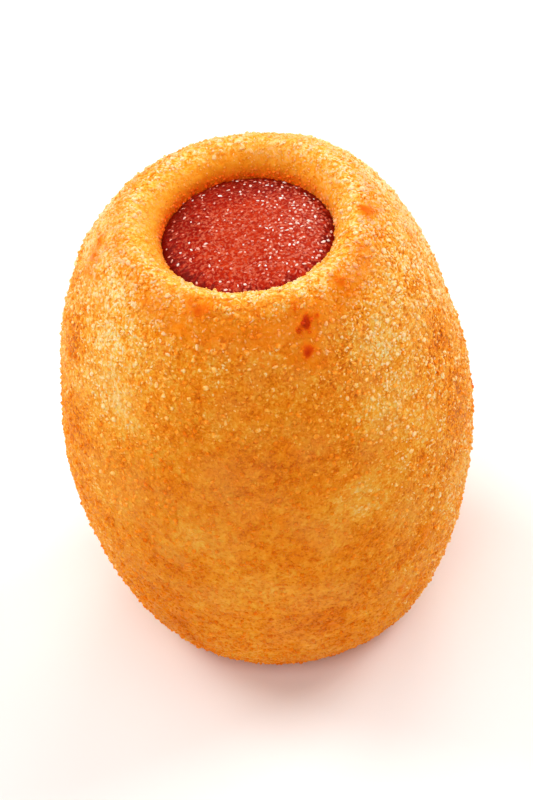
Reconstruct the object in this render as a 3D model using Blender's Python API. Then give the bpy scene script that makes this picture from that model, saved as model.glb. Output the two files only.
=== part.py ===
"""Fried sausage roll: a thick coat of dough round a short length of sausage that shows at both ends.

Metres, +Z up. The roll stands on one end, on the flat ring that its lower rim makes. Its top end leans
a little towards -X. The origin is on the ground, at the middle of the roll's bounding box.
"""

import math

import bmesh
import bpy
from mathutils import Vector, noise

# Driving dimensions.
LENGTH = 0.0660  # from the crest of one rim to the crest of the other
BELLY_RADIUS = 0.0263  # half way up, where the dough is fattest
RIM_RADIUS = 0.0146  # the circle that the crest of each rim runs along
SAUSAGE_RADIUS = 0.0110
SAUSAGE_SINK = 0.0040  # from the rim's crest down to the edge of the sausage's cut end
SAUSAGE_DOME = 0.0021  # how far the cut end swells at its middle
FOOT_CUT = 0.0005  # how much of the lower crest is flattened, to stand on

# Proportions of the dough.
GAP = 0.0003  # between the sausage and the bore of the dough
BORE_RADIUS = SAUSAGE_RADIUS + GAP
LIP_DEPTH = 0.0046  # how far the rim rolls in before it meets the bore
SHOULDER_POWER = 1.25  # 1 is an ellipse, and more is more pointed
DOME_POWER = 2.6  # 2 is an ellipse, and more is flatter with a rounder edge

# How far the real, hand-shaped roll departs from a turned one.
LEAN = math.radians(2.0)  # the tilt of its top end towards -X
SWELLS = (
    # (how many bulges go round, share of the radius, where one of them faces)
    (1, 0.018, math.radians(165)),
    (2, 0.012, math.radians(125)),
    (3, 0.004, math.radians(20)),
)
RIM_WAVE = 0.0004  # rise and fall of the upper crest, twice round
RIM_WAVE_TURN = math.radians(35)
EVEN_FOOT = 0.25  # share of the length, from the ground up, over which the unevenness fades in
DENTS = (
    # (depth, distance between two dents)
    (0.00040, 0.018),
    (0.00020, 0.008),
)
DENTS_SEED = Vector((3.1, 7.4, 1.9))

# Fineness of the meshes.
SIDES = 60
SHOULDER_STEPS = 30
LIP_STEPS = 5
BORE_STEPS = 7
DOME_STEPS = 6
MERGE_DISTANCE = 1e-6

CRUST_COLOUR = (0.86, 0.39, 0.07, 1.0)
CRUST_ROUGHNESS = 0.62
SAUSAGE_COLOUR = (0.60, 0.085, 0.035, 1.0)
SAUSAGE_ROUGHNESS = 0.38


def clear_scene():
    for thing in list(bpy.data.objects):
        bpy.data.objects.remove(thing)


def smooth_step(t):
    t = min(max(t, 0.0), 1.0)
    return t * t * (3.0 - 2.0 * t)


def shoulder_outline():
    """(radius, height) down the outside of the dough, from the upper crest to the lower one."""
    half = LENGTH / 2
    reach = BELLY_RADIUS - RIM_RADIUS
    points = []
    for step in range(SHOULDER_STEPS + 1):
        angle = math.pi / 2 - math.pi * step / SHOULDER_STEPS
        bulge = abs(math.cos(angle)) ** SHOULDER_POWER
        points.append((RIM_RADIUS + reach * bulge, half + half * math.sin(angle)))
    return points


def lip_outline(crest_height, inwards):
    """(radius, height) from a crest, which is left out, over the lip and down to the bore.

    inwards is -1 for the upper lip and 1 for the lower one.
    """
    points = []
    for step in range(1, LIP_STEPS + 1):
        angle = math.pi / 2 * step / LIP_STEPS
        radius = RIM_RADIUS - (RIM_RADIUS - BORE_RADIUS) * math.sin(angle)
        height = crest_height + inwards * LIP_DEPTH * (1 - math.cos(angle))
        points.append((radius, height))
    return points


def bore_outline():
    """(radius, height) of the points along the bore, between the two lips, from the bottom up."""
    low = LIP_DEPTH
    high = LENGTH - LIP_DEPTH
    steps = range(1, BORE_STEPS)
    return [(BORE_RADIUS, low + (high - low) * step / BORE_STEPS) for step in steps]


def dough_outline():
    """The closed section of the dough, on one side of the roll's axis."""
    down_the_outside = shoulder_outline()
    lower_lip = lip_outline(0.0, 1)
    upper_lip = lip_outline(LENGTH, -1)
    return down_the_outside + lower_lip + bore_outline() + upper_lip[::-1]


def cut_end_outline(edge_height, outwards):
    """(radius, height) of a swollen cut end, from its middle to its edge."""
    points = []
    for step in range(DOME_STEPS + 1):
        share = math.sin(math.pi / 2 * step / DOME_STEPS)
        swell = SAUSAGE_DOME * math.sqrt(1 - share**DOME_POWER)
        points.append((SAUSAGE_RADIUS * share, edge_height + outwards * swell))
    return points


def sausage_outline():
    """Half of the sausage's section, from the middle of its upper end to that of its lower end."""
    top = LENGTH - SAUSAGE_SINK
    bottom = SAUSAGE_SINK
    steps = range(1, BORE_STEPS)
    side = [(SAUSAGE_RADIUS, top + (bottom - top) * step / BORE_STEPS) for step in steps]
    return cut_end_outline(top, 1) + side + cut_end_outline(bottom, -1)[::-1]


def bend(point):
    """Leans the roll over towards -X along a smooth arc, and tips each cross-section with it."""
    up = point.z / LENGTH
    slope = math.tan(LEAN) * up
    sideways = slope * LENGTH * up / 2
    return Vector((point.x - sideways, point.y, point.z + slope * point.x))


def hand_shape(point):
    """Makes the outside of the turned dough uneven, and leaves its bore and its foot as they are."""
    radius = math.hypot(point.x, point.y)
    turn = math.atan2(point.y, point.x)
    up = point.z / LENGTH
    off_bore = smooth_step((radius - BORE_RADIUS) / (RIM_RADIUS - BORE_RADIUS))
    off_foot = smooth_step(up / EVEN_FOOT)
    share = sum(size * math.cos(count * (turn - face)) for count, size, face in SWELLS)
    push = radius * share
    for depth, spacing in DENTS:
        push += depth * noise.noise(point / spacing + DENTS_SEED)
    push *= off_bore * off_foot
    upper_half = smooth_step(2 * up - 1)
    wave = RIM_WAVE * math.cos(2 * (turn - RIM_WAVE_TURN)) * upper_half * off_bore
    outward = Vector((math.cos(turn), math.sin(turn), 0.0))
    return point + outward * push + Vector((0.0, 0.0, wave))


def flatten_foot(point):
    """Cuts the lower crest off level, and brings that cut down to the ground."""
    return Vector((point.x, point.y, max(point.z - FOOT_CUT, 0.0)))


def turned_mesh(name, outline, closed):
    """The outline, in the XZ plane, spun once round Z. A closed outline makes a ring."""
    shape = bmesh.new()
    corners = [shape.verts.new((radius, 0.0, height)) for radius, height in outline]
    edges = [shape.edges.new(pair) for pair in zip(corners, corners[1:])]
    if closed:
        edges.append(shape.edges.new((corners[-1], corners[0])))
    bmesh.ops.spin(
        shape,
        geom=corners + edges,
        cent=(0.0, 0.0, 0.0),
        axis=(0.0, 0.0, 1.0),
        angle=2 * math.pi,
        steps=SIDES,
        use_merge=True,
    )
    bmesh.ops.remove_doubles(shape, verts=shape.verts, dist=MERGE_DISTANCE)
    bmesh.ops.recalc_face_normals(shape, faces=shape.faces)
    mesh = bpy.data.meshes.new(name)
    shape.to_mesh(mesh)
    shape.free()
    return mesh


def reshape(mesh, *changes):
    for corner in mesh.vertices:
        place = corner.co.copy()
        for change in changes:
            place = change(place)
        corner.co = place


def food_material(name, colour, roughness):
    material = bpy.data.materials.new(name)
    material.use_nodes = True
    surface = material.node_tree.nodes["Principled BSDF"]
    surface.inputs["Base Color"].default_value = colour
    surface.inputs["Roughness"].default_value = roughness
    surface.inputs["Metallic"].default_value = 0.0
    return material


def add_part(name, mesh, material):
    mesh.shade_smooth()
    mesh.materials.append(material)
    part = bpy.data.objects.new(name, mesh)
    bpy.context.scene.collection.objects.link(part)
    return part


def make_dough():
    mesh = turned_mesh("dough", dough_outline(), closed=True)
    reshape(mesh, hand_shape, bend, flatten_foot)
    crust = food_material("fried crust", CRUST_COLOUR, CRUST_ROUGHNESS)
    return add_part("dough", mesh, crust)


def make_sausage():
    mesh = turned_mesh("sausage", sausage_outline(), closed=False)
    reshape(mesh, bend, flatten_foot)
    meat = food_material("cooked sausage", SAUSAGE_COLOUR, SAUSAGE_ROUGHNESS)
    return add_part("sausage", mesh, meat)


def centre_on_origin(dough, others):
    """Moves every part so that the dough's bounding box is centred over the origin."""
    corners = [corner.co for corner in dough.data.vertices]
    middle_x = (min(c.x for c in corners) + max(c.x for c in corners)) / 2
    middle_y = (min(c.y for c in corners) + max(c.y for c in corners)) / 2
    for part in (dough, *others):
        part.location = (-middle_x, -middle_y, 0.0)


def main():
    clear_scene()
    dough = make_dough()
    sausage = make_sausage()
    centre_on_origin(dough, [sausage])


main()
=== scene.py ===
# %% [markdown]
# # A fried sausage roll
#
# This lesson dresses a plain model of a sausage roll: a thick coat of dough, fried in fine crumbs,
# round a short length of sausage that shows at both ends. The plain model is packed already, and here it
# only says where things are. Each step makes one piece or one finish: the crust, its crumbs, the sausage,
# the flecks of fat in it, and last the table, light and camera.

import math

import bmesh
import bpy
import numpy as np
from mathutils import Matrix, Vector, noise


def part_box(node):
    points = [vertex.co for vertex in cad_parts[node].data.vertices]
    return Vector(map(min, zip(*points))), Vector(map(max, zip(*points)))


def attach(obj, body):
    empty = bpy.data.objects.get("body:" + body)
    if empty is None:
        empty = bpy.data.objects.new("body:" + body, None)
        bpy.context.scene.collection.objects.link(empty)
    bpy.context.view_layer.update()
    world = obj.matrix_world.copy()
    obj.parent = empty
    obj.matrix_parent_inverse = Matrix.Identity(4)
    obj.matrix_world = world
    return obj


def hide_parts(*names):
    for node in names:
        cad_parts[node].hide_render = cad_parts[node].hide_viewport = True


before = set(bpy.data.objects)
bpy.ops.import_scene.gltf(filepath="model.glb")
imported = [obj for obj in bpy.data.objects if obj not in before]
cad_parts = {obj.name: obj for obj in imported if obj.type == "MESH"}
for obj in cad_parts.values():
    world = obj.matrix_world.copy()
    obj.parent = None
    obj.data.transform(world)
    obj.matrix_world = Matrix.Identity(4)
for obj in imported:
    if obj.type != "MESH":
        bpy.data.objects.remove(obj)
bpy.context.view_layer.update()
MM = 0.001

# %% [markdown]
# ## The form of the dough
#
# The baker wraps dough round a sausage, rolls it between the hands into a fat barrel and pinches the ends
# into thick rims. A barrel is a turned shape, so one outline that is spun round the sausage's axis makes
# it. It runs over the upper lip, down the side, over the lower lip and back up the hidden bore. Where it
# shows, its points are close and even, so that the relief finds enough of them.

# %% Sizes of the roll
LENGTH = 66.0 * MM
BELLY_RADIUS = 26.3 * MM
RIM_RADIUS = 14.6 * MM
LIP_DEPTH = 4.6 * MM
SHOULDER_POWER = 1.25
SAUSAGE_RADIUS = 11.0 * MM
# The dough clings to the sausage, so its bore reaches a little way into it and no gap shows.
CLING = 0.15 * MM
BORE_RADIUS = SAUSAGE_RADIUS - CLING
print("the dough is", round((BELLY_RADIUS - BORE_RADIUS) / MM, 1), "mm thick half way up")

# %% Outline of the dough
# Each curve is drawn with many samples, and then cut into even steps.
LIP_SAMPLES = 60
SHOULDER_SAMPLES = 400
SHOWN_STEPS = 226
BORE_STEPS = 5


def evenly(outline, steps):
    """Puts steps + 1 points at equal distances along a (radius, height) outline."""
    outline = np.array(outline)
    hops = np.hypot(*np.diff(outline, axis=0).T)
    walked = np.concatenate([[0.0], np.cumsum(hops)])
    stops = np.linspace(0.0, walked[-1], steps + 1)
    return np.stack([np.interp(stops, walked, column) for column in outline.T], axis=1)


def lip(crest_height, inwards):
    """A quarter of an ellipse, from the crest of a rim down to the bore."""
    angle = np.linspace(0.0, math.pi / 2, LIP_SAMPLES)
    radius = RIM_RADIUS - (RIM_RADIUS - BORE_RADIUS) * np.sin(angle)
    height = crest_height + inwards * LIP_DEPTH * (1 - np.cos(angle))
    return np.stack([radius, height], axis=1)


def shoulder():
    """The outside of the dough, from the upper crest down to the lower one."""
    angle = np.linspace(math.pi / 2, -math.pi / 2, SHOULDER_SAMPLES)
    bulge = np.abs(np.cos(angle)) ** SHOULDER_POWER
    radius = RIM_RADIUS + (BELLY_RADIUS - RIM_RADIUS) * bulge
    height = LENGTH / 2 * (1 + np.sin(angle))
    return np.stack([radius, height], axis=1)


shown_outline = evenly(np.concatenate([lip(LENGTH, -1)[::-1], shoulder(), lip(0.0, 1)]), SHOWN_STEPS)
bore_heights = np.linspace(LIP_DEPTH, LENGTH - LIP_DEPTH, BORE_STEPS + 1)[1:-1]
bore_outline = np.stack([np.full(BORE_STEPS - 1, BORE_RADIUS), bore_heights], axis=1)
dough_outline = np.concatenate([shown_outline, bore_outline])
print("the outline has", len(dough_outline), "points")

# %% [markdown]
# ## Shaped by hand
#
# No two rolls are alike: each swells a little more on one side, leans, and carries the soft dents of the
# fingers. Slow waves round the axis and a slow noise move every point outwards or inwards, an arc leans
# the top over, and the lower rim is pressed flat where the roll stands. The waves keep off the bore,
# which the sausage fills, and off the foot. The plain model was shaped by the same rules, so the fine
# surface lies where the plain one does.

# %% Swells and dents
SWELLS = (
    # (how many bulges go round, share of the radius, where one of them faces)
    (1, 0.018, math.radians(165)),
    (2, 0.012, math.radians(125)),
    (3, 0.004, math.radians(20)),
)
RIM_WAVE = 0.4 * MM
RIM_WAVE_TURN = math.radians(35)
EVEN_FOOT = 0.25
DENTS = (
    # (depth, distance between two dents)
    (0.40 * MM, 18 * MM),
    (0.20 * MM, 8 * MM),
)
DENTS_SEED = Vector((3.1, 7.4, 1.9))


def smooth_step(t):
    t = np.clip(t, 0.0, 1.0)
    return t * t * (3.0 - 2.0 * t)


def noise_at(points, spacing, seed):
    return np.array([noise.noise(Vector(point) / spacing + seed) for point in points])


def hand_shape(points):
    radius = np.hypot(points[:, 0], points[:, 1])
    turn = np.arctan2(points[:, 1], points[:, 0])
    up = points[:, 2] / LENGTH
    off_bore = smooth_step((radius - BORE_RADIUS) / (RIM_RADIUS - BORE_RADIUS))
    push = radius * sum(size * np.cos(count * (turn - face)) for count, size, face in SWELLS)
    for depth, spacing in DENTS:
        push += depth * noise_at(points, spacing, DENTS_SEED)
    push *= off_bore * smooth_step(up / EVEN_FOOT)
    wave = RIM_WAVE * np.cos(2 * (turn - RIM_WAVE_TURN)) * smooth_step(2 * up - 1) * off_bore
    moves = np.stack([np.cos(turn) * push, np.sin(turn) * push, wave], axis=1)
    return points + moves


print("the dents are up to", round(sum(depth for depth, _ in DENTS) / MM, 1), "mm deep")

# %% Lean and foot
LEAN = math.radians(2.0)
FOOT_CUT = 0.5 * MM


def bend(points):
    """Leans the roll over towards -X along a smooth arc, and tips each cross-section with it."""
    up = points[:, 2] / LENGTH
    slope = math.tan(LEAN) * up
    moves = np.stack([-slope * points[:, 2] / 2, np.zeros(len(points)), slope * points[:, 0]], axis=1)
    return points + moves


def flatten_foot(points):
    flat = points.copy()
    flat[:, 2] = np.maximum(points[:, 2] - FOOT_CUT, 0.0)
    return flat


print("the top leans over by", round(math.tan(LEAN) * LENGTH / 2 / MM, 1), "mm")

# %% [markdown]
# ## Turning an outline into a mesh
#
# Blender's Spin tool would turn the outline too. Here the points are one array instead, because all
# ninety thousand of them still have to be pushed about. A point on the axis becomes one single corner,
# so that a pole is closed.

# %% Rings and faces
ON_AXIS = 1e-9


def turned(outline, sides):
    """The corners of the outline at each of the sides, and which of them make up each ring."""
    turns = np.arange(sides) * 2 * math.pi / sides
    corners, rings = [], []
    for radius, height in outline:
        count = 1 if radius < ON_AXIS else sides
        rings.append(range(len(corners), len(corners) + count))
        corners += [(radius * math.cos(t), radius * math.sin(t), height) for t in turns[:count]]
    return np.array(corners), rings


def faces_between(upper, lower, sides):
    """The band of faces between two rings. They face outwards where the outline runs down the outside."""
    faces = []
    for side in range(sides):
        after = (side + 1) % sides
        if len(upper) == 1:
            faces.append((upper[0], lower[side], lower[after]))
        elif len(lower) == 1:
            faces.append((upper[after], upper[side], lower[0]))
        else:
            faces.append((upper[after], upper[side], lower[side], lower[after]))
    return faces


print("a band of four sides has", len(faces_between(range(4), range(4, 8), 4)), "faces")

# %% A piece and its marks
def new_piece(name, corners, faces):
    mesh = bpy.data.meshes.new(name)
    mesh.from_pydata(corners.tolist(), [], faces)
    mesh.update()
    mesh.shade_smooth()
    piece = bpy.data.objects.new(name, mesh)
    bpy.context.scene.collection.objects.link(piece)
    return piece


def keep(piece, name, values):
    """Stores one number for each corner, which the nodes read by its name."""
    attribute = piece.data.attributes.new(name, "FLOAT", "POINT")
    attribute.data.foreach_set("value", np.asarray(values, dtype=np.float32))
    print(f"{piece.name}: {name} runs from {np.min(values):.4f} to {np.max(values):.4f}")


# %% Mesh of the crust
DOUGH_SIDES = 396
turned_points, rings = turned(dough_outline, DOUGH_SIDES)
dough_faces = []
for ring, next_ring in zip(rings, rings[1:] + rings[:1]):
    dough_faces += faces_between(ring, next_ring, DOUGH_SIDES)
dough_points = flatten_foot(bend(hand_shape(turned_points)))
middle = (dough_points.min(axis=0) + dough_points.max(axis=0)) / 2
frame_middle = (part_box("dough")[0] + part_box("dough")[1]) / 2
TO_FRAME = np.array([frame_middle.x - middle[0], frame_middle.y - middle[1], 0.0])
crust = new_piece("crust", dough_points + TO_FRAME, dough_faces)
print("the crust has", len(crust.data.polygons), "faces")

# %% [markdown]
# ## Where the crust differs
#
# A crust isn't one colour or one roughness all over. Here and there a bubble in the dough rose, burnt a
# little and left an orange halo round itself. Some patches lay nearer to the heat and are toasted. Others
# are pale, partly from the dough's own paler colour and partly as painted highlights, the soft reflections
# of the lamps. Such marks could be brushed on by hand. Here each kind is one number for each corner of the
# mesh, which the relief and the finish can both read, so that shape and colour agree. The marks that matter
# are placed one by one, and a seeded draw scatters a few more blisters over the back and the lower half.

# %% Blisters and patches
def placed(*rows):
    """Rows of (where it faces in degrees, height and width in mm, strength), in radians and metres."""
    return [
        (math.radians(facing), level * MM, width * MM, strength)
        for facing, level, width, strength in rows
    ]


BLISTERS = placed(
    (-115, 65.3, 4.8, 0.7),
    (-70, 63.4, 3.8, 1.3),
    (-73, 60.6, 3.2, 1.0),
    (-48, 65.1, 3.2, 0.65),
    (-28, 65.7, 2.8, 0.4),
    (-5, 65.8, 3.8, 0.7),
    (177, 63.7, 2.8, 0.7),
    (-179, 62.5, 2.8, 0.6),
    (-175, 61.4, 2.4, 0.4),
)
TOASTED = placed(
    (-90, 58, 62, 0.6),
    (-147, 65.7, 6, 0.5),
    (-138, 64, 6, 0.6),
    (-135, 61.6, 7, 0.5),
    (172, 56, 13, 0.9),
    (-170, 51, 15, 0.9),
    (-164, 42, 18, 0.7),
    (-14, 64, 7, 1.0),
    (-17, 58, 9, 0.9),
    (-19, 50, 12, 1.0),
    (-22, 40, 16, 0.9),
    (-96, 61, 12, 0.7),
    (95, 52, 16, 0.8),
    (150, 24, 14, 0.6),
    (-80, 16, 13, 0.5),
    (30, 20, 12, 0.7),
)
# Pale patches: partly the dough's own paler colour, partly painted highlights where the lamps' soft
# reflections fall.
PALE_AND_SHEEN = placed(
    (20, 57, 20, 0.8),
    (-171, 64.3, 8, 0.6),
    (-157, 62, 10, 0.9),
    (-149, 58, 13, 1.0),
    (-144, 51, 14, 0.8),
    (-47, 57, 12, 0.9),
    (-52, 50, 14, 0.9),
    (-104, 53, 9, 0.5),
    (-66, 38, 16, 0.4),
    (-118, 34, 16, 0.3),
    (60, 36, 20, 0.5),
    (170, 30, 15, 0.5),
)
print(len(BLISTERS), "blisters,", len(TOASTED), "toasted patches and", len(PALE_AND_SHEEN), "pale ones")

# %% Where each corner lies
CREST_MARGIN = 0.4 * MM
GROUND_MARGIN = 0.4 * MM
GROUND_FADE = 1.5 * MM
radius = np.hypot(turned_points[:, 0], turned_points[:, 1])
turn = np.arctan2(turned_points[:, 1], turned_points[:, 0])
height = turned_points[:, 2]
ring_number = np.arange(len(height)) // DOUGH_SIDES
crest_rings = np.flatnonzero(np.isclose(shown_outline[:, 0], RIM_RADIUS, atol=CREST_MARGIN))
on_side = (ring_number >= crest_rings.min()) & (ring_number <= crest_rings.max())
outline_step = np.hypot(*np.diff(shown_outline, axis=0)[0])
from_end = np.minimum(ring_number - crest_rings.min(), crest_rings.max() - ring_number) * outline_step
off_ground = smooth_step((dough_points[:, 2] - GROUND_MARGIN) / GROUND_FADE)
print(round(100 * on_side.mean()), "% of the corners lie on the outside, between the two crests")

# %% Spots with an uneven edge
RAGGED = 0.9
RAGGED_SPACING = 1.1 * MM
RAGGED_SEED = Vector((5, 5, 5))
ragged_edge = RAGGED * noise_at(turned_points, RAGGED_SPACING, RAGGED_SEED)


def spots(marks):
    """1 at the middle of each round mark on the outside, falling to 0 at its uneven edge."""
    share = np.zeros(len(height))
    for facing, level, width, strength in marks:
        miss = np.hypot(radius * np.sin((turn - facing) / 2) * 2, height - level)
        middle_of_mark = turned_points[np.argmin(np.where(on_side, miss, np.inf))]
        away = np.linalg.norm(turned_points - middle_of_mark, axis=1)
        share = np.maximum(share, strength * smooth_step(1 - away / (width / 2) * (1 + ragged_edge)))
    return share * on_side


# Pale patches count below zero, so this mark holds toasting and painted highlights together.
toasted = spots(TOASTED) - spots(PALE_AND_SHEEN)
keep(crust, "toasted", toasted)
print("toasted:", round(100 * (toasted > 0).mean()), "%, pale:", round(100 * (toasted < 0).mean()), "%")

# %% Stray blisters and halos
STRAY_BLISTERS = 16
STRAY_SEED = 4
# The least and the most of where it faces, height, width and strength.
STRAY_LEAST = (-math.pi, 4 * MM, 2.4 * MM, 0.2)
STRAY_MOST = (math.pi, 62 * MM, 4.4 * MM, 0.7)
FRONT_SINE = -0.2
HALO_WIDTH = 2.5
HALO_STRENGTH = 1.2


def may_stray(facing, level):
    """Whether a stray blister may lie there: anywhere but in the upper half of the front."""
    return level < LENGTH / 2 or math.sin(facing) > FRONT_SINE


draw = np.random.default_rng(STRAY_SEED)
strays = []
while len(strays) < STRAY_BLISTERS:
    stray = tuple(draw.uniform(STRAY_LEAST, STRAY_MOST))
    if may_stray(*stray[:2]):
        strays.append(stray)
blister = spots(BLISTERS + strays)
keep(crust, "blister", blister)
halos = [
    (facing, level, HALO_WIDTH * width, HALO_STRENGTH * burnt)
    for facing, level, width, burnt in BLISTERS
]
halo = spots(halos)
print("blisters cover", round(100 * (blister > 0).mean(), 1), "% of the crust's corners")

# %% [markdown]
# ## The rim and its throat
#
# Each end has marks of its own. Where the rim rolls in towards the sausage lies the throat, which stays
# soft. It is tinted orange as painted shade and a painted glow of light bounced round the hollow, most of
# all on its far side. Below it is the groove, painted a deeper red as shade. The brink is the narrow edge
# where crumbs lie against the sausage. Round the outside, a little way below the crest, lies a shallow
# amber collar, which sags and is pressed in a little at the front. All of them follow from which way a
# corner faces and how far it lies from the crest, the bore or the ground.

# %% Throat, groove and brink
SHADED_FACING = math.radians(112)
LEAST_SHADE = 0.15
GROOVE_TOP = 1.4 * MM
GROOVE_FADE = 2.2 * MM
BRINK_START = 0.1 * MM
BRINK_END = 0.55 * MM
BRINK_FADE = 0.2 * MM
BRINK_STRENGTH = 0.7
# The throat and groove tints are painted shade and painted bounced glow. They are strongest on the far side
# of the rim and weakest at its lit sides.
shaded_side = smooth_step(0.5 + 0.5 * np.cos(turn - SHADED_FACING))
shaded_side = LEAST_SHADE + (1 - LEAST_SHADE) * shaded_side
deep = np.where(on_side, 0.0, smooth_step((RIM_RADIUS - radius) / (RIM_RADIUS - BORE_RADIUS)))
throat = deep * shaded_side * off_ground
below_crest = np.where(on_side, 0.0, np.minimum(height, LENGTH - height))
groove_shade = shaded_side * smooth_step((below_crest - GROOVE_TOP) / GROOVE_FADE)
from_bore = radius - BORE_RADIUS
near_end = np.abs(height - LENGTH / 2) > LENGTH / 2 - LIP_DEPTH
brink = smooth_step(from_bore / BRINK_START) * smooth_step((BRINK_END - from_bore) / BRINK_FADE) * near_end
keep(crust, "throat", throat)
keep(crust, "groove_shade", groove_shade)
keep(crust, "brink", BRINK_STRENGTH * brink * off_ground)
print("the throat is", round(below_crest[throat > 0.1].max() / MM, 1), "mm deep")

# %% Collar and blisters in relief
BLISTER_HEIGHT = 0.35 * MM
COLLAR_PLACE = 1.9 * MM
COLLAR_WIDTH = 1.6 * MM
COLLAR_SAG = 2.2 * MM
COLLAR_SPREAD = 0.8 * MM
COLLAR_DEPTH = 0.22 * MM
COLLAR_AT_BACK = 0.45
UNEVENNESS = 0.9
UNEVEN_SPACING = 9 * MM
UNEVEN_SEED = Vector((8, 1, 3))
WANDER = 1.4 * MM
WANDER_SPACING = 11 * MM
WANDER_SEED = Vector((2, 9, 4))
uneven = 1 + UNEVENNESS * noise_at(turned_points, UNEVEN_SPACING, UNEVEN_SEED)
wander = WANDER * noise_at(turned_points, WANDER_SPACING, WANDER_SEED)
frontal = smooth_step(np.clip(-np.sin(turn), 0.0, 1.0) ** 2)
collar_place = COLLAR_PLACE + COLLAR_SAG * frontal + wander
collar_width = COLLAR_WIDTH + COLLAR_SPREAD * frontal
collar = np.exp(-(((from_end - collar_place) / collar_width) ** 2)) * on_side
collar *= uneven * (COLLAR_AT_BACK + (1 - COLLAR_AT_BACK) * frontal)
keep(crust, "collar", np.clip(np.maximum(collar, halo), 0.0, 1.0))
keep(crust, "raised", BLISTER_HEIGHT * blister - COLLAR_DEPTH * collar * frontal)
print("the collar is pressed in by up to", round(COLLAR_DEPTH * (collar * frontal).max() / MM, 2), "mm")

# %% Sandy flanks and crumbs
FLANK_FACING = math.radians(-8)
FLANK_GAIN = 1.3
FLANK_START = 0.35
SANDIER_RIGHT = 0.25
THROAT_BARE = 1.6
# The flanks get stronger cream specks, more of them on the right. This is partly a sandier crust and partly
# painted glints where the side lamps graze the crumbs.
from_flank = np.cos(turn - FLANK_FACING)
sandy_and_glinting = smooth_step(np.abs(from_flank) * FLANK_GAIN - FLANK_START)
sandy_and_glinting = sandy_and_glinting * (1 + SANDIER_RIGHT * from_flank) * on_side
crumbed = off_ground * np.clip(1 - THROAT_BARE * throat, 0.0, 1.0)
keep(crust, "sandy_and_glinting", sandy_and_glinting)
keep(crust, "crumbed", crumbed)
keep(crust, "rough", off_ground)
print(round(100 * crumbed.mean()), "% of the crust takes crumbs")

# %% [markdown]
# ## The crumbly skin
#
# Fine crumbs that were pressed into the wet dough and fried leave a skin of soft, close-set bumps. A
# texture could only fake them, so Geometry Nodes move the real surface: a slow noise makes low lumps, a
# Voronoi pattern makes one bump for each of its cells, and the blisters and the collar are added last.
# The relief fades out at the foot, so that the roll stands flat. How deep each hollow lies is kept too,
# because the finish browns the hollows as painted shade, which leaves the tops of the bumps paler. One
# small function adds every node, in this tree and in all that follow.

# %% Adding a node
def add_node(tree, kind, inputs=None, **settings):
    """Adds a node. inputs says, by name or place, which value, node or socket each input gets."""
    node = tree.nodes.new(kind)
    for name, value in settings.items():
        setattr(node, name, value)
    for name, value in (inputs or {}).items():
        socket = node.inputs[name] if isinstance(name, int) else named(node.inputs, name)
        if isinstance(value, bpy.types.Node):
            value = next(output for output in value.outputs if output.enabled)
        if isinstance(value, bpy.types.NodeSocket):
            tree.links.new(value, socket)
        else:
            socket.default_value = value
    return node


def named(sockets, name):
    return next(socket for socket in sockets if socket.enabled and socket.name == name)


# %% Trees that grow a piece
def new_tree(name, sizes):
    """A Geometry Nodes tree with a geometry input and one named input for each (kind, name)."""
    tree = bpy.data.node_groups.new(name, "GeometryNodeTree")
    tree.is_modifier = True
    tree.interface.new_socket("Geometry", in_out="INPUT", socket_type="NodeSocketGeometry")
    for kind, size in sizes:
        tree.interface.new_socket(size, in_out="INPUT", socket_type="NodeSocket" + kind)
    tree.interface.new_socket("Geometry", in_out="OUTPUT", socket_type="NodeSocketGeometry")
    return tree, add_node(tree, "NodeGroupInput").outputs


def grow(piece, tree, values):
    """Runs the tree on a piece, with its named inputs set, and leaves the piece a plain mesh."""
    modifier = piece.modifiers.new(tree.name, "NODES")
    modifier.node_group = tree
    for item in tree.interface.items_tree:
        if item.in_out == "INPUT" and item.name in values:
            modifier[item.identifier] = values[item.name]
    bpy.context.view_layer.update()
    ready = bpy.context.evaluated_depsgraph_get()
    grown = piece.evaluated_get(ready)
    mesh = bpy.data.meshes.new_from_object(grown, preserve_all_data_layers=True, depsgraph=ready)
    piece.modifiers.clear()
    piece.data = mesh
    print(piece.name, "has", len(mesh.polygons), "faces after", tree.name)


# %% Nodes for the relief
MIDDLE_OF_PATTERN = 0.5


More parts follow.
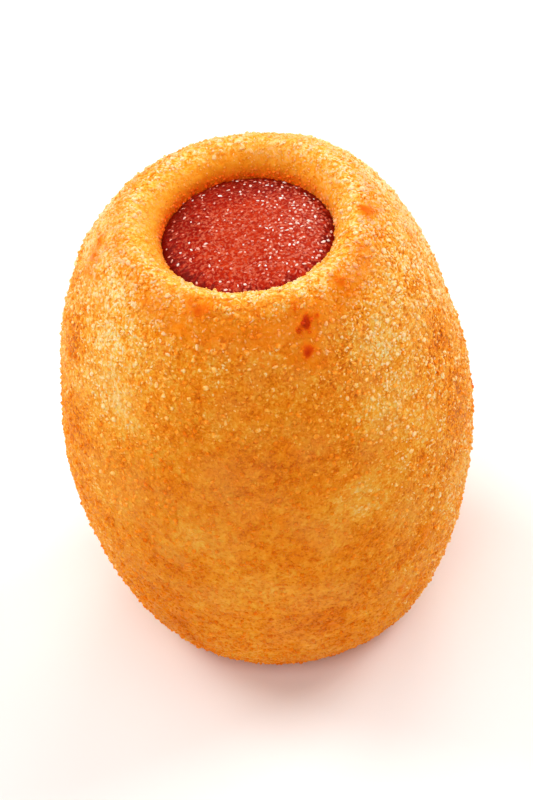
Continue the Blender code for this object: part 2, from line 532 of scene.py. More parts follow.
def relief_tree():
    sizes = [
        ("Float", "Lump spacing"),
        ("Float", "Lump depth"),
        ("Float", "Crumb spacing"),
        ("Float", "Crumb depth"),
        ("Material", "Finish"),
    ]
    tree, given = new_tree("crumbly skin", sizes)
    place = add_node(tree, "GeometryNodeInputPosition")
    heights = []
    for name, kind, settings, inputs in (
        ("Lump", "ShaderNodeTexNoise", {}, {"Detail": 1.0}),
        ("Crumb", "ShaderNodeTexVoronoi", {"feature": "SMOOTH_F1"}, {"Smoothness": 0.5}),
    ):
        scale = add_node(tree, "ShaderNodeMath", {0: 1.0, 1: given[name + " spacing"]}, operation="DIVIDE")
        pattern = add_node(tree, kind, {"Vector": place, "Scale": scale, **inputs}, **settings)
        from_middle = {0: pattern, 1: MIDDLE_OF_PATTERN}
        middle = add_node(tree, "ShaderNodeMath", from_middle, operation="SUBTRACT")
        depth = given[name + " depth"]
        heights.append(add_node(tree, "ShaderNodeMath", {0: middle, 1: depth}, operation="MULTIPLY"))
    lumps, hollows = heights
    skin = add_node(tree, "ShaderNodeMath", {0: lumps, 1: hollows}, operation="SUBTRACT")
    marks = {
        name: add_node(tree, "GeometryNodeInputNamedAttribute", {"Name": name}, data_type="FLOAT")
        for name in ("rough", "raised")
    }
    grown = {0: skin, 1: marks["rough"], 2: marks["raised"]}
    relief = add_node(tree, "ShaderNodeMath", grown, operation="MULTIPLY_ADD")
    normal = add_node(tree, "GeometryNodeInputNormal")
    offset = add_node(tree, "ShaderNodeVectorMath", {"Vector": normal, "Scale": relief}, operation="SCALE")
    # The depth of each hollow is stored so that the finish can brown it as painted shade.
    share = add_node(tree, "ShaderNodeMath", {0: hollows, 1: given["Crumb depth"]}, operation="DIVIDE")
    stored = {"Geometry": given["Geometry"], "Name": "hollow", "Value": share}
    noted = add_node(tree, "GeometryNodeStoreNamedAttribute", stored, data_type="FLOAT", domain="POINT")
    moved = add_node(tree, "GeometryNodeSetPosition", {"Geometry": noted, "Offset": offset})
    whole = add_node(tree, "GeometryNodeRealizeInstances", {"Geometry": moved})
    done = {"Geometry": whole, "Material": given["Finish"]}
    finished = add_node(tree, "GeometryNodeSetMaterial", done)
    add_node(tree, "NodeGroupOutput", {"Geometry": finished})
    print("the relief takes", len(tree.nodes), "nodes")
    return tree


# %% [markdown]
# ## The finish of fried dough
#
# Fried wheat dough is matt and a little oily, and light goes a short way into it, which is why a golden
# crust seems to glow where it curves away. Its colour runs from pale gold through amber to brown with how
# long the hot oil reached it. So one number, the browning, is summed from slow mottling, from the height
# and from the marks on the crust, and a colour ramp turns it into the crust's colours. The top comes out
# paler, partly as painted light from above, and the hollows come out browner, as painted shade. A fine
# grain then lifts single specks towards cream, most of all near the top and on the flanks. These specks
# are partly the crumbs' own paler colour and partly painted highlights, glints where the lamps graze the
# crust. The throat, the groove, the collar and the blisters are tinted last, the throat and the groove as
# painted shade and bounced glow, each with a share that follows the grain, so that none of them looks
# painted over. Object coordinates keep every pattern fixed to the piece, and each scale comes from a size
# in millimetres.

# %% Colours and scales
def linear(hex_colour):
    """The linear colour that Blender wants, from an sRGB one such as #f2a53c."""
    shares = [int(hex_colour[place : place + 2], 16) / 255 for place in (1, 3, 5)]
    straight = [share / 12.92 if share < 0.04045 else ((share + 0.055) / 1.055) ** 2.4 for share in shares]
    return (*straight, 1.0)


def per_metre(spacing):
    """The scale of a noise or Voronoi texture whose features are this far apart."""
    return 1.0 / spacing


print("#f2a53c is", [round(share, 3) for share in linear("#f2a53c")], "in linear light")

# %% Starting a finish
def new_finish(name, base):
    """A material, its node tree, and its surface with the plain values set."""
    material = bpy.data.materials.new(name)
    material.use_nodes = True
    tree = material.node_tree
    surface = tree.nodes["Principled BSDF"]
    for socket, value in base.items():
        surface.inputs[socket].default_value = value
    return material, tree, surface


# %% Sums and colour ramps
def weigh(tree, start, parts):
    """start plus the sum of each part times its weight."""
    total = start
    for part, weight in parts:
        total = add_node(tree, "ShaderNodeMath", {0: part, 1: weight, 2: total}, operation="MULTIPLY_ADD")
    return total


def set_stops(ramp, stops):
    """Gives a colour ramp these (place, colour) stops."""
    elements = ramp.color_ramp.elements
    while len(elements) < len(stops):
        elements.new(0.5)
    for element, (place, colour) in zip(elements, stops):
        element.position = place
        element.color = linear(colour)
    return ramp


# %% Colours of the crust
CRUST_BROWNING = (
    (0.00, "#ffe2ae"),
    (0.18, "#ffcb78"),
    (0.32, "#ffb040"),
    (0.45, "#fc9a22"),
    (0.58, "#f2840c"),
    (0.72, "#e06c04"),
    (0.86, "#c25202"),
    (1.00, "#9c3a02"),
)
print("the crust browns over", len(CRUST_BROWNING), "colours")

# %% Patterns on the crust
MOTTLING_WIDTH = 11 * MM
BLOTCH_WIDTH = 1.9 * MM
# Real crumb dust is finer than 0.2 mm, and its grain is drawn coarser, so that it shows.
GRAIN_WIDTH = 0.42 * MM
FLOURY_WIDTH = 7 * MM


def crust_patterns(tree, place):
    """Slow mottling, fine blotches, grain and floury patches."""
    kinds = (
        {"Scale": per_metre(MOTTLING_WIDTH), "Detail": 2.0},
        {"Scale": per_metre(BLOTCH_WIDTH), "Detail": 2.0},
        {"Scale": per_metre(GRAIN_WIDTH), "Detail": 1.0, "Distortion": 0.6},
        {"Scale": per_metre(FLOURY_WIDTH), "Detail": 2.0},
    )
    slow, fine, grain, patches = [
        add_node(tree, "ShaderNodeTexNoise", {"Vector": place, **kind}) for kind in kinds
    ]
    floury = {"Value": patches, "From Min": 0.42, "From Max": 0.72, "To Max": 0.30}
    return slow, fine, grain, add_node(tree, "ShaderNodeMapRange", floury, interpolation_type="SMOOTHSTEP")


print("the grain is drawn", round(GRAIN_WIDTH / MM, 2), "mm wide")

# %% How brown the crust is
MARKS = ("toasted", "sandy_and_glinting", "collar", "blister", "throat", "groove_shade", "hollow", "tone", "lit_tip")
FAR_UP_POWER = 4.0
TONE_POWER = 2.5


def browning(tree, place, marks, slow, fine, grain, start):
    """A number that runs from 0, pale, to 1, burnt."""
    height = add_node(tree, "ShaderNodeSeparateXYZ", {"Vector": place}).outputs["Z"]
    up = add_node(tree, "ShaderNodeMath", {0: height, 1: LENGTH}, operation="DIVIDE")
    # The top is paler, partly from drier crust and partly as painted light from above.
    high_and_lit = add_node(tree, "ShaderNodeMath", {0: up, 1: FAR_UP_POWER}, operation="POWER")
    pale = add_node(tree, "ShaderNodeMath", {0: marks["tone"], 1: TONE_POWER}, operation="POWER")
    # Each crumb's tip is painted paler, as a painted highlight.
    lift = weigh(tree, 0.45, [(grain, -1.1), (fine, 0.2), (pale, -0.45), (marks["lit_tip"], -0.3)])
    # The cream specks are strongest high up and on the flanks, partly as painted highlights.
    share = weigh(tree, 0.24, [(high_and_lit, 0.80), (marks["sandy_and_glinting"], 0.50), (marks["collar"], -0.12)])
    lift = add_node(tree, "ShaderNodeMath", {0: lift, 1: share}, operation="MULTIPLY")
    parts = [(slow, 0.38), (fine, 0.28), (high_and_lit, -0.18), (marks["toasted"], 0.22)]
    # The hollows between bumps are browned as painted shade.
    parts += [(marks["hollow"], 0.12), (lift, 1.0), (marks["blister"], 0.05)]
    return weigh(tree, start, parts)


print(len(MARKS), "marks steer the colour")

# %% Tints of the marks
# The throat's orange and the groove's red stand for painted shade and painted bounced glow inside the rim.
THROAT_SHADE_ORANGE = "#ff9c18"
GROOVE_SHADE_RED = "#ff5204"
COLLAR_AMBER = "#fa7e00"
FLOURY_TAN = "#faae4c"
BLISTER_REDS = (
    (0.00, "#ff9410"),
    (0.50, "#f67a08"),
    (0.75, "#e85802"),
    (1.00, "#be2e00"),
)


def tinted(tree, colour, marks, floury, grain):
    """The colour with every tint mixed in, each by a share that follows the grain."""
    reds = add_node(tree, "ShaderNodeValToRGB", {"Fac": marks["blister"]})
    tints = (
        # (where, tint, least share, share that the grain adds)
        (floury, linear(FLOURY_TAN), 0.7, 0.6),
        (marks["collar"], linear(COLLAR_AMBER), 0.3, 0.8),
        (marks["throat"], linear(THROAT_SHADE_ORANGE), 0.4, 1.0),
        (marks["groove_shade"], linear(GROOVE_SHADE_RED), 0.4, 1.0),
        (marks["blister"], set_stops(reds, BLISTER_REDS), 1.2, 0.8),
    )
    for where, tint, least, more in tints:
        share = weigh(tree, least, [(grain, more)])
        factor = add_node(tree, "ShaderNodeMath", {0: where, 1: share}, operation="MULTIPLY")
        mixed = {"Factor": factor, "A": colour, "B": tint}
        colour = add_node(tree, "ShaderNodeMix", mixed, data_type="RGBA")
    return named(colour.outputs, "Result")


print("a blister reddens over", len(BLISTER_REDS), "colours")

# %% Fried crust
GRAIN_HEIGHT = 0.25 * MM


def fried_finish(name, start, glow, depth, gloss):
    """The finish of the crust, and of crumbs whose own tone moves them up or down the ramp."""
    # Fried wheat dough, dried and oiled by the fryer: the eye sees a matt, grainy gold with a warm glow
    # from inside, no clear reflection, and paler specks of flour and crumb, some of them painted
    # highlights.
    # Frying oil has an IOR of about 1.47 and moist starch a lower one, so 1.45 stands for both.
    base = {
        "Roughness": 0.5,
        "IOR": 1.45,
        "Specular IOR Level": gloss,
        "Sheen Weight": 0.05,
        "Sheen Roughness": 0.4,
        "Sheen Tint": linear("#ffd9a0"),
        "Subsurface Weight": glow,
        "Subsurface Radius": (1.0, 0.45, 0.15),
        "Subsurface Scale": depth,
    }
    material, tree, surface = new_finish(name, base)
    place = add_node(tree, "ShaderNodeTexCoord").outputs["Object"]
    marks = {
        name: add_node(tree, "ShaderNodeAttribute", attribute_name=name).outputs["Fac"]
        for name in MARKS
    }
    slow, fine, grain, floury = crust_patterns(tree, place)
    browned = browning(tree, place, marks, slow, fine, grain, start)
    ramp = set_stops(add_node(tree, "ShaderNodeValToRGB", {"Fac": browned}), CRUST_BROWNING)
    tree.links.new(tinted(tree, ramp, marks, floury, grain), surface.inputs["Base Color"])
    rise = {"Height": grain, "Strength": 0.4, "Distance": GRAIN_HEIGHT}
    normal = add_node(tree, "ShaderNodeBump", rise)
    tree.links.new(normal.outputs["Normal"], surface.inputs["Normal"])
    print(name, "takes", len(tree.nodes), "nodes")
    return material


# %% The crust is dressed
fried_crust = fried_finish("fried dough crust", start=0.18, glow=0.7, depth=1.8 * MM, gloss=0.05)
relief = {
    "Lump spacing": 3.6 * MM,
    "Lump depth": 0.38 * MM,
    "Crumb spacing": 1.0 * MM,
    "Crumb depth": 0.28 * MM,
    "Finish": fried_crust,
}
grow(crust, relief_tree(), relief)
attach(crust, "root")
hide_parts("dough")
print("the crust stands", round((max(v.co.z for v in crust.data.vertices)) / MM, 2), "mm high")

# %% [markdown]
# ## Loose crumbs
#
# Over that skin lie thousands of single crumbs of dry bread, half sunk in it. They give the roll its
# sandy look and its rough outline. Geometry Nodes scatter them: points are strewn over the crust with a
# least distance between any two, each gets a copy of one small crumb with its own turn and size, and the
# copies are made real. Five kinds are strewn: fine, flaky and coarse ones over the whole crust, fine ones
# in the throat and a ragged row at the brink. Each crumb keeps a tone of its own and has a paler tip,
# which is a painted highlight. It takes over the marks of the crust that it lies on, so that crumbs on a
# toasted patch are toasted too. A crumb has only a few faces, because there are so many of them. The
# masks don't leave out the bore, so about a fifth of the crumbs lie in it, where the sausage hides them.

# %% One crumb
CRUMB_UNEVENNESS = 0.25
OCTAHEDRON = (
    [(0.5, 0, 0), (0, 0.5, 0), (-0.5, 0, 0), (0, -0.5, 0), (0, 0, 0.5), (0, 0, -0.5)],
    [(0, 1, 4), (1, 2, 4), (2, 3, 4), (3, 0, 4), (1, 0, 5), (2, 1, 5), (3, 2, 5), (0, 3, 5)],
)


def crumb_shape(name, corners, faces, seed):
    """An uneven lump about one unit across, whose corners are pushed in or out by a seeded draw."""
    pushes = np.random.default_rng(seed).uniform(-1, 1, (len(corners), 1))
    lump = new_piece(name, np.array(corners) * (1 + CRUMB_UNEVENNESS * pushes), faces)
    lump.data.shade_flat()
    # The tip share lets the finish paint each crumb's top paler, as a painted highlight.
    keep(lump, "lit_tip", [0.5 + corner[2] for corner in corners])
    bpy.context.scene.collection.objects.unlink(lump)
    return lump


def icosahedron():
    """The corners and faces of the roundest solid with twenty faces."""
    ball = bmesh.new()
    bmesh.ops.create_icosphere(ball, subdivisions=1, radius=0.5)
    corners = [tuple(corner.co) for corner in ball.verts]
    faces = [tuple(corner.index for corner in face.verts) for face in ball.faces]
    ball.free()
    return corners, faces


fine_crumb = crumb_shape("fine crumb", *OCTAHEDRON, seed=1)
coarse_crumb = crumb_shape("coarse crumb", *icosahedron(), seed=2)
for crumb in (fine_crumb, coarse_crumb):
    print("a", crumb.name, "has", len(crumb.data.polygons), "faces")

# %% How a copy is turned
LEAN_SEED = 7


def turned_at_random(tree, given, points):
    """Stands each copy upright on the surface, turned any way round and leaning a little."""
    whirl = {"Max": math.tau, "Seed": given["Seed"]}
    whirl = add_node(tree, "FunctionNodeRandomValue", whirl, data_type="FLOAT")
    lowest = add_node(tree, "ShaderNodeMath", {0: given["Tilt"], 1: -1.0}, operation="MULTIPLY")
    lean = {"Min": lowest, "Max": given["Tilt"], "Seed": LEAN_SEED}
    lean = add_node(tree, "FunctionNodeRandomValue", lean, data_type="FLOAT")
    own_turn = add_node(tree, "ShaderNodeCombineXYZ", {"X": lean, "Z": whirl})
    own_turn = {"Rotation": points.outputs["Rotation"], "Rotate By": own_turn}
    return add_node(tree, "FunctionNodeRotateRotation", own_turn, rotation_space="LOCAL")


# %% Nodes that strew
SIZE_SEED = 3
TONE_SEED = 11


def strewn_tree(name, mask):
    """Strews copies of a small shape where the surface's mask is high."""
    sizes = [
        ("Object", "Shape"),
        ("Float", "Spacing"),
        ("Float", "Density"),
        ("Vector", "Smallest"),
        ("Vector", "Largest"),
        ("Float", "Sunk"),
        ("Float", "Tilt"),
        ("Int", "Seed"),
        ("Material", "Finish"),
    ]
    tree, given = new_tree(name, sizes)
    where = add_node(tree, "GeometryNodeInputNamedAttribute", {"Name": mask}, data_type="FLOAT")
    spread = {
        "Mesh": given["Geometry"],
        "Distance Min": given["Spacing"],
        "Density Max": given["Density"],
        "Density Factor": where,
        "Seed": given["Seed"],
    }
    points = add_node(tree, "GeometryNodeDistributePointsOnFaces", spread, distribute_method="POISSON")
    down = add_node(tree, "ShaderNodeMath", {0: given["Sunk"], 1: -1.0}, operation="MULTIPLY")
    into = {"Vector": points.outputs["Normal"], "Scale": down}
    into = add_node(tree, "ShaderNodeVectorMath", into, operation="SCALE")
    sunk = add_node(tree, "GeometryNodeSetPosition", {"Geometry": points.outputs["Points"], "Offset": into})
    facing = turned_at_random(tree, given, points)
    size = {"Min": given["Smallest"], "Max": given["Largest"], "Seed": SIZE_SEED}
    size = add_node(tree, "FunctionNodeRandomValue", size, data_type="FLOAT_VECTOR")
    shape = add_node(tree, "GeometryNodeObjectInfo", {"Object": given["Shape"]}).outputs["Geometry"]
    copies = {"Points": sunk, "Instance": shape, "Rotation": facing, "Scale": size}
    copies = add_node(tree, "GeometryNodeInstanceOnPoints", copies)
    tone = add_node(tree, "FunctionNodeRandomValue", {"Seed": TONE_SEED}, data_type="FLOAT")
    noted = {"Geometry": copies, "Name": "tone", "Value": tone}
    noted = add_node(tree, "GeometryNodeStoreNamedAttribute", noted, data_type="FLOAT", domain="INSTANCE")
    real = add_node(tree, "GeometryNodeRealizeInstances", {"Geometry": noted})
    finished = add_node(tree, "GeometryNodeSetMaterial", {"Geometry": real, "Material": given["Finish"]})
    add_node(tree, "NodeGroupOutput", {"Geometry": finished})
    return tree


# %% Strewing a piece
def strew(name, ground, tree, values):
    """A new piece that holds what the tree strews over the ground."""
    piece = bpy.data.objects.new(name, ground.data)
    bpy.context.scene.collection.objects.link(piece)
    grow(piece, tree, values)
    piece.data.name = name
    return piece


# %% Crumbs on the crust
CRUMB_TILT = 0.9
fried_crumbs = fried_finish("fried breadcrumbs", start=0.33, glow=0.3, depth=0.2 * MM, gloss=0.06)
crumb_kinds = (
    # (name, mask, shape, least distance, crumbs on a square millimetre, smallest, largest, sunk)
    ("fine_crumbs", "crumbed", fine_crumb, 0.26, 2.2, (0.34, 0.26, 0.24), (0.66, 0.52, 0.56), 0.04),
    ("flaky_crumbs", "crumbed", fine_crumb, 0.34, 1.9, (0.50, 0.18, 0.22), (1.05, 0.34, 0.44), 0.03),
    ("coarse_crumbs", "crumbed", coarse_crumb, 0.80, 0.55, (0.48, 0.40, 0.40), (1.05, 0.85, 1.05), 0.02),
    ("throat_crumbs", "throat", fine_crumb, 0.28, 5.0, (0.26, 0.22, 0.20), (0.56, 0.44, 0.42), 0.02),
    ("brink_crumbs", "brink", fine_crumb, 0.40, 4.0, (0.36, 0.32, 0.34), (0.80, 0.60, 0.66), 0.0),
)
for seed, (name, mask, shape, spacing, density, smallest, largest, sunk) in enumerate(crumb_kinds):
    values = {
        "Shape": shape,
        "Spacing": spacing * MM,
        "Density": density / MM**2,
        "Smallest": [side * MM for side in smallest],
        "Largest": [side * MM for side in largest],
        "Sunk": sunk * MM,
        "Tilt": CRUMB_TILT,
        "Seed": seed,
        "Finish": fried_crumbs,
    }
    crumbs = strew(name, crust, strewn_tree("crumbs where " + mask, mask), values)
    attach(crumbs, "root")

# %% [markdown]
# ## The sausage
#
# What shows in the middle is the cut end of a cooked sausage. It is a fine meat paste, packed tight in its
# skin, so it swells into a low dome when it is cut and fried. The plain model has the same dome in a few
# wide facets. This one has many more points, and gets a low grain from the same relief nodes as the crust,
# only finer. It runs right through the dough, as the plain one does.

# %% Outline of the sausage
SAUSAGE_SINK = 4.0 * MM
SAUSAGE_DOME = 2.1 * MM
DOME_POWER = 2.6
DOME_SAMPLES = 200
CUT_STEPS = 84
SKIN_STEPS = 8


def cut_end(edge_height, outwards):
    """A swollen cut end, from its middle to its edge."""
    share = np.sin(np.linspace(0.0, math.pi / 2, DOME_SAMPLES))
    swell = SAUSAGE_DOME * np.sqrt(np.clip(1 - share**DOME_POWER, 0.0, 1.0))
    return np.stack([SAUSAGE_RADIUS * share, edge_height + outwards * swell], axis=1)


upper_cut = evenly(cut_end(LENGTH - SAUSAGE_SINK, 1), CUT_STEPS)
lower_cut = evenly(cut_end(SAUSAGE_SINK, -1), CUT_STEPS)[::-1]
skin_heights = np.linspace(LENGTH - SAUSAGE_SINK, SAUSAGE_SINK, SKIN_STEPS + 1)[1:-1]
skin = np.stack([np.full(SKIN_STEPS - 1, SAUSAGE_RADIUS), skin_heights], axis=1)
sausage_outline = np.concatenate([upper_cut, skin, lower_cut])
print("the outline has", len(sausage_outline), "points")

# %% Sausage mesh
SAUSAGE_SIDES = 260
meat_points, meat_rings = turned(sausage_outline, SAUSAGE_SIDES)
meat_faces = []
for ring, next_ring in zip(meat_rings, meat_rings[1:]):
    meat_faces += faces_between(ring, next_ring, SAUSAGE_SIDES)
meat = new_piece("meat", flatten_foot(bend(meat_points)) + TO_FRAME, meat_faces)
print("the sausage has", len(meat.data.polygons), "faces")

# %% [markdown]
# ## Lit heart, dark rind and painted shade
#
# The cut end is darker at its rind, partly from the skin and partly as painted shade where the crust
# stands over it. Painted shade darkens it further towards the far and left side, and the fat shows more
# on the right, partly as painted glints. Five marks hold that: the rind and painted shade, the marbling
# that fades towards it, two shares of fat and glints, for the small flecks and the large, and how rough
# the grain is. A ragged noise breaks the borders up, because meat has no clean rings.

# %% Places on the cut end
# The point on the cut end where the painted shade is least.
LIT_MIDDLE = (2.2 * MM, -1.8 * MM)
RAGGED_RIND = 0.2
RIND_SPACING = 0.45 * MM
RIND_STRETCH = 0.3
RIND_SEED = Vector((2, 2, 2))
across, along = meat_points[:, 0], meat_points[:, 1]
meat_turn = np.arctan2(along, across)
from_cut_middle = np.hypot(across, along) / SAUSAGE_RADIUS
from_lit_middle = np.hypot(across - LIT_MIDDLE[0], along - LIT_MIDDLE[1]) / SAUSAGE_RADIUS
inwards = RIND_STRETCH * from_cut_middle
round_the_edge = np.stack([np.cos(meat_turn), np.sin(meat_turn), inwards], axis=1)
ragged = RAGGED_RIND * noise_at(round_the_edge * SAUSAGE_RADIUS, RIND_SPACING, RIND_SEED)
print("the pale middle lies", round(math.hypot(*LIT_MIDDLE) / MM, 1), "mm off the sausage's own")

# %% Shade and rind
FAR_SIDE_START = 3.0 * MM
FAR_SIDE_FADE = 8.0 * MM
FAR_SIDE_SHADE = 0.35
# From here on, distances are shares of the sausage's radius.
SHADE_START = 0.5
SHADE_FADE = 0.70
RIND_START = 0.88
RIND_FADE = 0.05
SHADE_SHARE = 0.55
RIND_SHARE = 0.45
LEAST_MARBLING = 0.06
far_side = smooth_step((along - FAR_SIDE_START) / FAR_SIDE_FADE)
shaded = smooth_step((from_lit_middle + ragged + FAR_SIDE_SHADE * far_side - SHADE_START) / SHADE_FADE)
rind = smooth_step((from_cut_middle + ragged - RIND_START) / RIND_FADE)
# This mark holds the dark rind, partly skin and partly painted shade, together with the painted shade
# towards the far and left side.
edge = SHADE_SHARE * shaded + RIND_SHARE * rind
keep(meat, "edge", edge)
keep(meat, "marbled", np.clip(0.9 - 1.1 * edge, LEAST_MARBLING, 1.0))
print("the rind is", round((1 - from_cut_middle[rind > 0.5].min()) * SAUSAGE_RADIUS / MM, 1), "mm wide")

# %% Fat and wrinkles
RICH_AND_GLINTING_FACING = math.radians(12)
FLECK_LIMIT = 0.98
FLECK_FADE = 0.10
LEAST_FATTY = 0.35
LEAST_RICH = 0.05
WRINKLE_START = 0.84
WRINKLE_FADE = 0.1
WRINKLE_DEPTH = 2.5
SMOOTH_EDGE = 0.995
inside_edge = smooth_step((FLECK_LIMIT - from_cut_middle) / FLECK_FADE)
# Both fat shares grow towards the right, partly as painted glints where the lamps catch the wet meat.
fatty = smooth_step(0.4 + 0.8 * from_cut_middle * np.cos(meat_turn))
rich = smooth_step(2.2 * from_cut_middle * np.cos(meat_turn - RICH_AND_GLINTING_FACING) - 0.6)
wrinkled = 1 + WRINKLE_DEPTH * smooth_step((from_cut_middle - WRINKLE_START) / WRINKLE_FADE)
keep(meat, "fatty", (LEAST_FATTY + (1 - LEAST_FATTY) * fatty) * inside_edge)
keep(meat, "rich", (LEAST_RICH + (1 - LEAST_RICH) * rich) * inside_edge)
keep(meat, "rough", np.where(from_cut_middle < SMOOTH_EDGE, wrinkled, 0.0))

# %% Colours of the sausage
SAUSAGE_REDS = (
    (0.00, "#c63c14"),
    (0.30, "#ac2406"),
    (0.55, "#901002"),
    (0.80, "#7c0e04"),
    (1.00, "#700a02"),
)
FAT_PINKS = (
    (0.00, "#b04024"),
    (0.35, "#cc6244"),
    (0.70, "#c85a3e"),
    (1.00, "#cc6248"),
)
print("lean meat has", len(SAUSAGE_REDS), "reds and fat meat", len(FAT_PINKS), "pinks")

# %% Cooked sausage
MEAT_MOTTLING_WIDTH = 5 * MM
MEAT_GRAIN_WIDTH = 0.55 * MM
FAT_GRAIN_WIDTH = 0.38 * MM
FAT_GRAIN_HEIGHT = 0.12 * MM


def sausage_finish():
    """The finish of the cut end and the skin."""
    # Cooked pork sausage, a fine cured paste: the eye sees a deep brick red, mottled with pinker fat and
    # darkest at the rind, with a faint wet sheen and a little light that seeps in. The rind's dark is
    # partly painted shade, and painted shade also darkens the meat towards its far and left side. The
    # pinker fat on the right is partly painted light. Lean meat has an IOR of about 1.38 and fat of about
    # 1.46, so 1.42 stands for a paste of both.
    base = {
        "Roughness": 0.4,
        "IOR": 1.42,
        "Specular IOR Level": 0.06,
        "Subsurface Weight": 0.15,
        "Subsurface Radius": (1.0, 0.35, 0.2),
        "Subsurface Scale": 0.5 * MM,
    }
    material, tree, surface = new_finish("cooked sausage meat", base)
    place = add_node(tree, "ShaderNodeTexCoord").outputs["Object"]
    marks = {
        name: add_node(tree, "ShaderNodeAttribute", attribute_name=name).outputs["Fac"]
        for name in ("edge", "marbled", "fatty")
    }
    slow = {"Vector": place, "Scale": per_metre(MEAT_MOTTLING_WIDTH), "Detail": 2.0}
    fine = {"Vector": place, "Scale": per_metre(MEAT_GRAIN_WIDTH), "Detail": 2.0, "Roughness": 0.7}
    slow, fine = [add_node(tree, "ShaderNodeTexNoise", inputs) for inputs in (slow, fine)]
    # The rind and the painted shade push the red darker.
    depth = weigh(tree, -0.42, [(slow, 0.4), (fine, 1.0), (marks["edge"], 0.90)])
    ramp = set_stops(add_node(tree, "ShaderNodeValToRGB", {"Fac": depth}), SAUSAGE_REDS)
    grains = {"Vector": place, "Scale": per_metre(FAT_GRAIN_WIDTH), "Detail": 1.0, "Distortion": 0.6}
    grains = add_node(tree, "ShaderNodeTexNoise", grains)
    near = {"Value": grains, "From Min": 0.46, "From Max": 0.66}
    near = add_node(tree, "ShaderNodeMapRange", near, interpolation_type="SMOOTHSTEP")
    share = add_node(tree, "ShaderNodeMath", {0: near, 1: marks["marbled"]}, operation="MULTIPLY")
    # The pinker fat on the right is partly painted light.
    pink = set_stops(add_node(tree, "ShaderNodeValToRGB", {"Fac": marks["fatty"]}), FAT_PINKS)
    mixed = add_node(tree, "ShaderNodeMix", {"Factor": share, "A": ramp, "B": pink}, data_type="RGBA")
    tree.links.new(named(mixed.outputs, "Result"), surface.inputs["Base Color"])
    rise = add_node(tree, "ShaderNodeBump", {"Height": near, "Strength": 0.6, "Distance": FAT_GRAIN_HEIGHT})
    tree.links.new(rise.outputs["Normal"], surface.inputs["Normal"])
    print(material.name, "takes", len(tree.nodes), "nodes")
    return material


# %% The sausage is dressed
grain_of_meat = {
    "Lump spacing": 2.5 * MM,
    "Lump depth": 0.10 * MM,
    "Crumb spacing": 0.6 * MM,
    "Crumb depth": 0.08 * MM,
    "Finish": sausage_finish(),
}
grow(meat, relief_tree(), grain_of_meat)
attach(meat, "root")
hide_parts("sausage")

# %% [markdown]
# ## Flecks of fat
#
# Ground fat stands out from the cut end as white and pink flecks, which catch the light. The whitest of
# them also stand in for glints, as painted highlights on the wet meat, so they crowd towards the right.
# Painted dots would lie flat, so the nodes that strewed the crumbs also strew these, small ones where the
# meat is fatty and a few large ones where it is rich. They lie almost level on the meat, so their tilt is
# small.

# %% Finish of the fat
FAT_TONES = (
    (0.00, "#b84430"),
    (0.45, "#d4705a"),
    (0.75, "#eea694"),
    (1.00, "#fff0e8"),
)


def fat_finish():
    """The finish of the flecks, each in a tone of its own."""
    # Rendered pork fat: the eye sees small wet grains, from red where meat clings to them to almost white,
    # which light passes through. The whitest also stand for glints, as painted highlights. Its IOR is about
    # 1.45 to 1.46.
    base = {
        "Roughness": 0.25,
        "IOR": 1.45,
        "Subsurface Weight": 0.5,
        "Subsurface Radius": (1.0, 0.6, 0.5),
        "Subsurface Scale": 0.4 * MM,
    }
    material, tree, surface = new_finish("sausage fat", base)
    tone = add_node(tree, "ShaderNodeAttribute", attribute_name="tone").outputs["Fac"]
    ramp = set_stops(add_node(tree, "ShaderNodeValToRGB", {"Fac": tone}), FAT_TONES)
    tree.links.new(ramp.outputs["Color"], surface.inputs["Base Color"])
    return material


sausage_fat = fat_finish()
print(sausage_fat.name, "runs over", len(FAT_TONES), "tones")

# %% Flecks on the meat
FLECK_TILT = 0.2
FIRST_FLECK_SEED = 5
# Both kinds crowd to the right, partly as painted glints.
fleck_kinds = (
    # (name, mask, least distance, flecks on a square millimetre, smallest, largest)
    ("fat_flecks", "fatty", 0.50, 6.2, (0.20, 0.26, 0.12), (0.42, 0.64, 0.26)),
    ("large_flecks", "rich", 0.80, 1.3, (0.32, 0.38, 0.20), (0.50, 0.72, 0.30)),
)
for seed, (name, mask, spacing, density, smallest, largest) in enumerate(fleck_kinds, FIRST_FLECK_SEED):
    values = {
        "Shape": coarse_crumb,
        "Spacing": spacing * MM,
        "Density": density / MM**2,
        "Smallest": [side * MM for side in smallest],
        "Largest": [side * MM for side in largest],
        "Sunk": 0.0,
        "Tilt": FLECK_TILT,
        "Seed": seed,
        "Finish": sausage_fat,
    }
    flecks = strew(name, meat, strewn_tree("flecks where " + mask, mask), values)
    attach(flecks, "root")

# %% [markdown]
# ## Table, light and camera
#
# The roll stands on a plain pale board, so that only its own colours count. Light from the front alone
# would flatten the crumbs, so four soft lamps stand at the back, the sides and the top, and rake across
# the grain. A fifth, wide one high up at the front opens the shadows. A long lens from some way off keeps
# the roll's proportions true.

# %% Table
TABLE_SIDE = 3.0
PAINT_WIDTH = 30 * MM


def board_finish():
    # Matt white painted board: the eye sees an even pale ground with no reflection, and only a faint
    # unevenness where the roller left more paint. It is really finer, and is drawn wider so that it shows.
    material, tree, surface = new_finish("matt white painted board", {"Roughness": 0.8})
    place = add_node(tree, "ShaderNodeTexCoord").outputs["Object"]
    mottling = {"Vector": place, "Scale": per_metre(PAINT_WIDTH), "Detail": 2.0}
    paint = add_node(tree, "ShaderNodeTexNoise", mottling)
    stops = ((0.3, "#f3f1ee"), (0.7, "#f5f3f0"))
    ramp = set_stops(add_node(tree, "ShaderNodeValToRGB", {"Fac": paint}), stops)
    tree.links.new(ramp.outputs["Color"], surface.inputs["Base Color"])
    return material


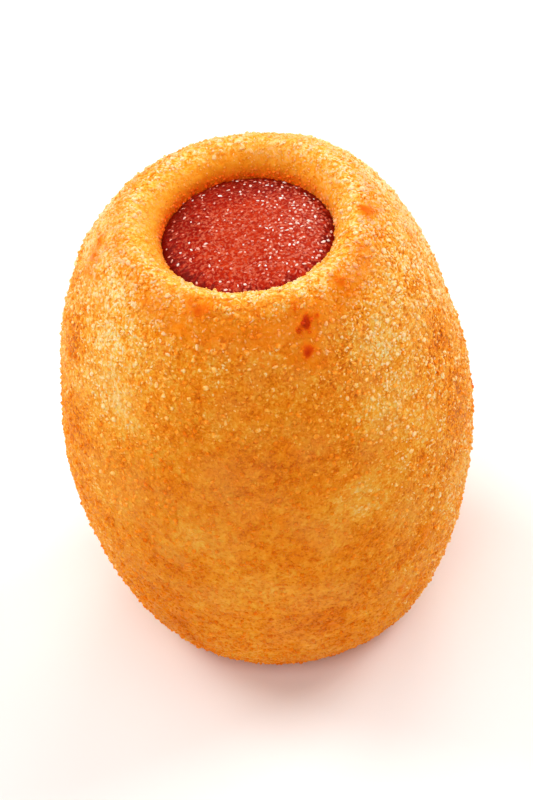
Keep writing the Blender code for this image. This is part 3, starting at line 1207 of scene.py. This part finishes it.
corners = [(x * TABLE_SIDE / 2, y * TABLE_SIDE / 2, 0) for x, y in ((-1, -1), (1, -1), (1, 1), (-1, 1))]
table = new_piece("table", np.array(corners), [(0, 1, 2, 3)])
table.data.materials.append(board_finish())
print("the table is", TABLE_SIDE, "m wide")

# %% Light
LAMPS = (
    # (name, side, place, power)
    ("back", 0.35, (0.22, 0.72, 0.52), 1.75),
    ("top", 0.5, (-0.1, 0.0, 0.90), 2.1),
    ("left", 0.4, (-0.56, 0.32, 0.50), 3.6),
    ("right", 0.4, (0.58, 0.30, 0.46), 3.7),
    ("front", 0.6, (-0.1, -0.62, 0.70), 3.35),
)
STUDIO_GLOW = 0.22
roll_middle = Vector((0.0, 0.0, LENGTH / 2))
for name, side, place, power in LAMPS:
    lamp = bpy.data.lights.new(name, "AREA")
    lamp.size = side
    lamp.energy = power
    softbox = bpy.data.objects.new(name, lamp)
    softbox.location = place
    softbox.rotation_euler = (roll_middle - Vector(place)).to_track_quat("-Z", "Y").to_euler()
    bpy.context.scene.collection.objects.link(softbox)
world = bpy.data.worlds.new("studio")
world.use_nodes = True
world.node_tree.nodes["Background"].inputs["Color"].default_value = (1.0, 1.0, 1.0, 1.0)
world.node_tree.nodes["Background"].inputs["Strength"].default_value = STUDIO_GLOW
bpy.context.scene.world = world
bpy.context.scene.view_settings.view_transform = "Standard"
print("the lamps give", round(sum(power for *_, power in LAMPS), 1), "W together")

# %% Camera
LENS = 250.0
SENSOR = 36.0
VIEW_HEIGHT = 103 * MM
ELEVATION = math.radians(45.5)
ROLL = math.radians(5.3)
towards = Vector((0.0, math.cos(ELEVATION), -math.sin(ELEVATION)))
distance = VIEW_HEIGHT * LENS / SENSOR
camera_data = bpy.data.cameras.new("camera")
camera_data.lens = LENS
camera_data.sensor_width = SENSOR
camera = bpy.data.objects.new("camera", camera_data)
place = Matrix.Translation(roll_middle - towards * distance)
facing = towards.to_track_quat("-Z", "Y").to_matrix().to_4x4()
camera.matrix_world = place @ facing @ Matrix.Rotation(-ROLL, 4, "Z")
bpy.context.scene.collection.objects.link(camera)
bpy.context.scene.camera = camera
print("the camera stands", round(distance, 2), "m away")
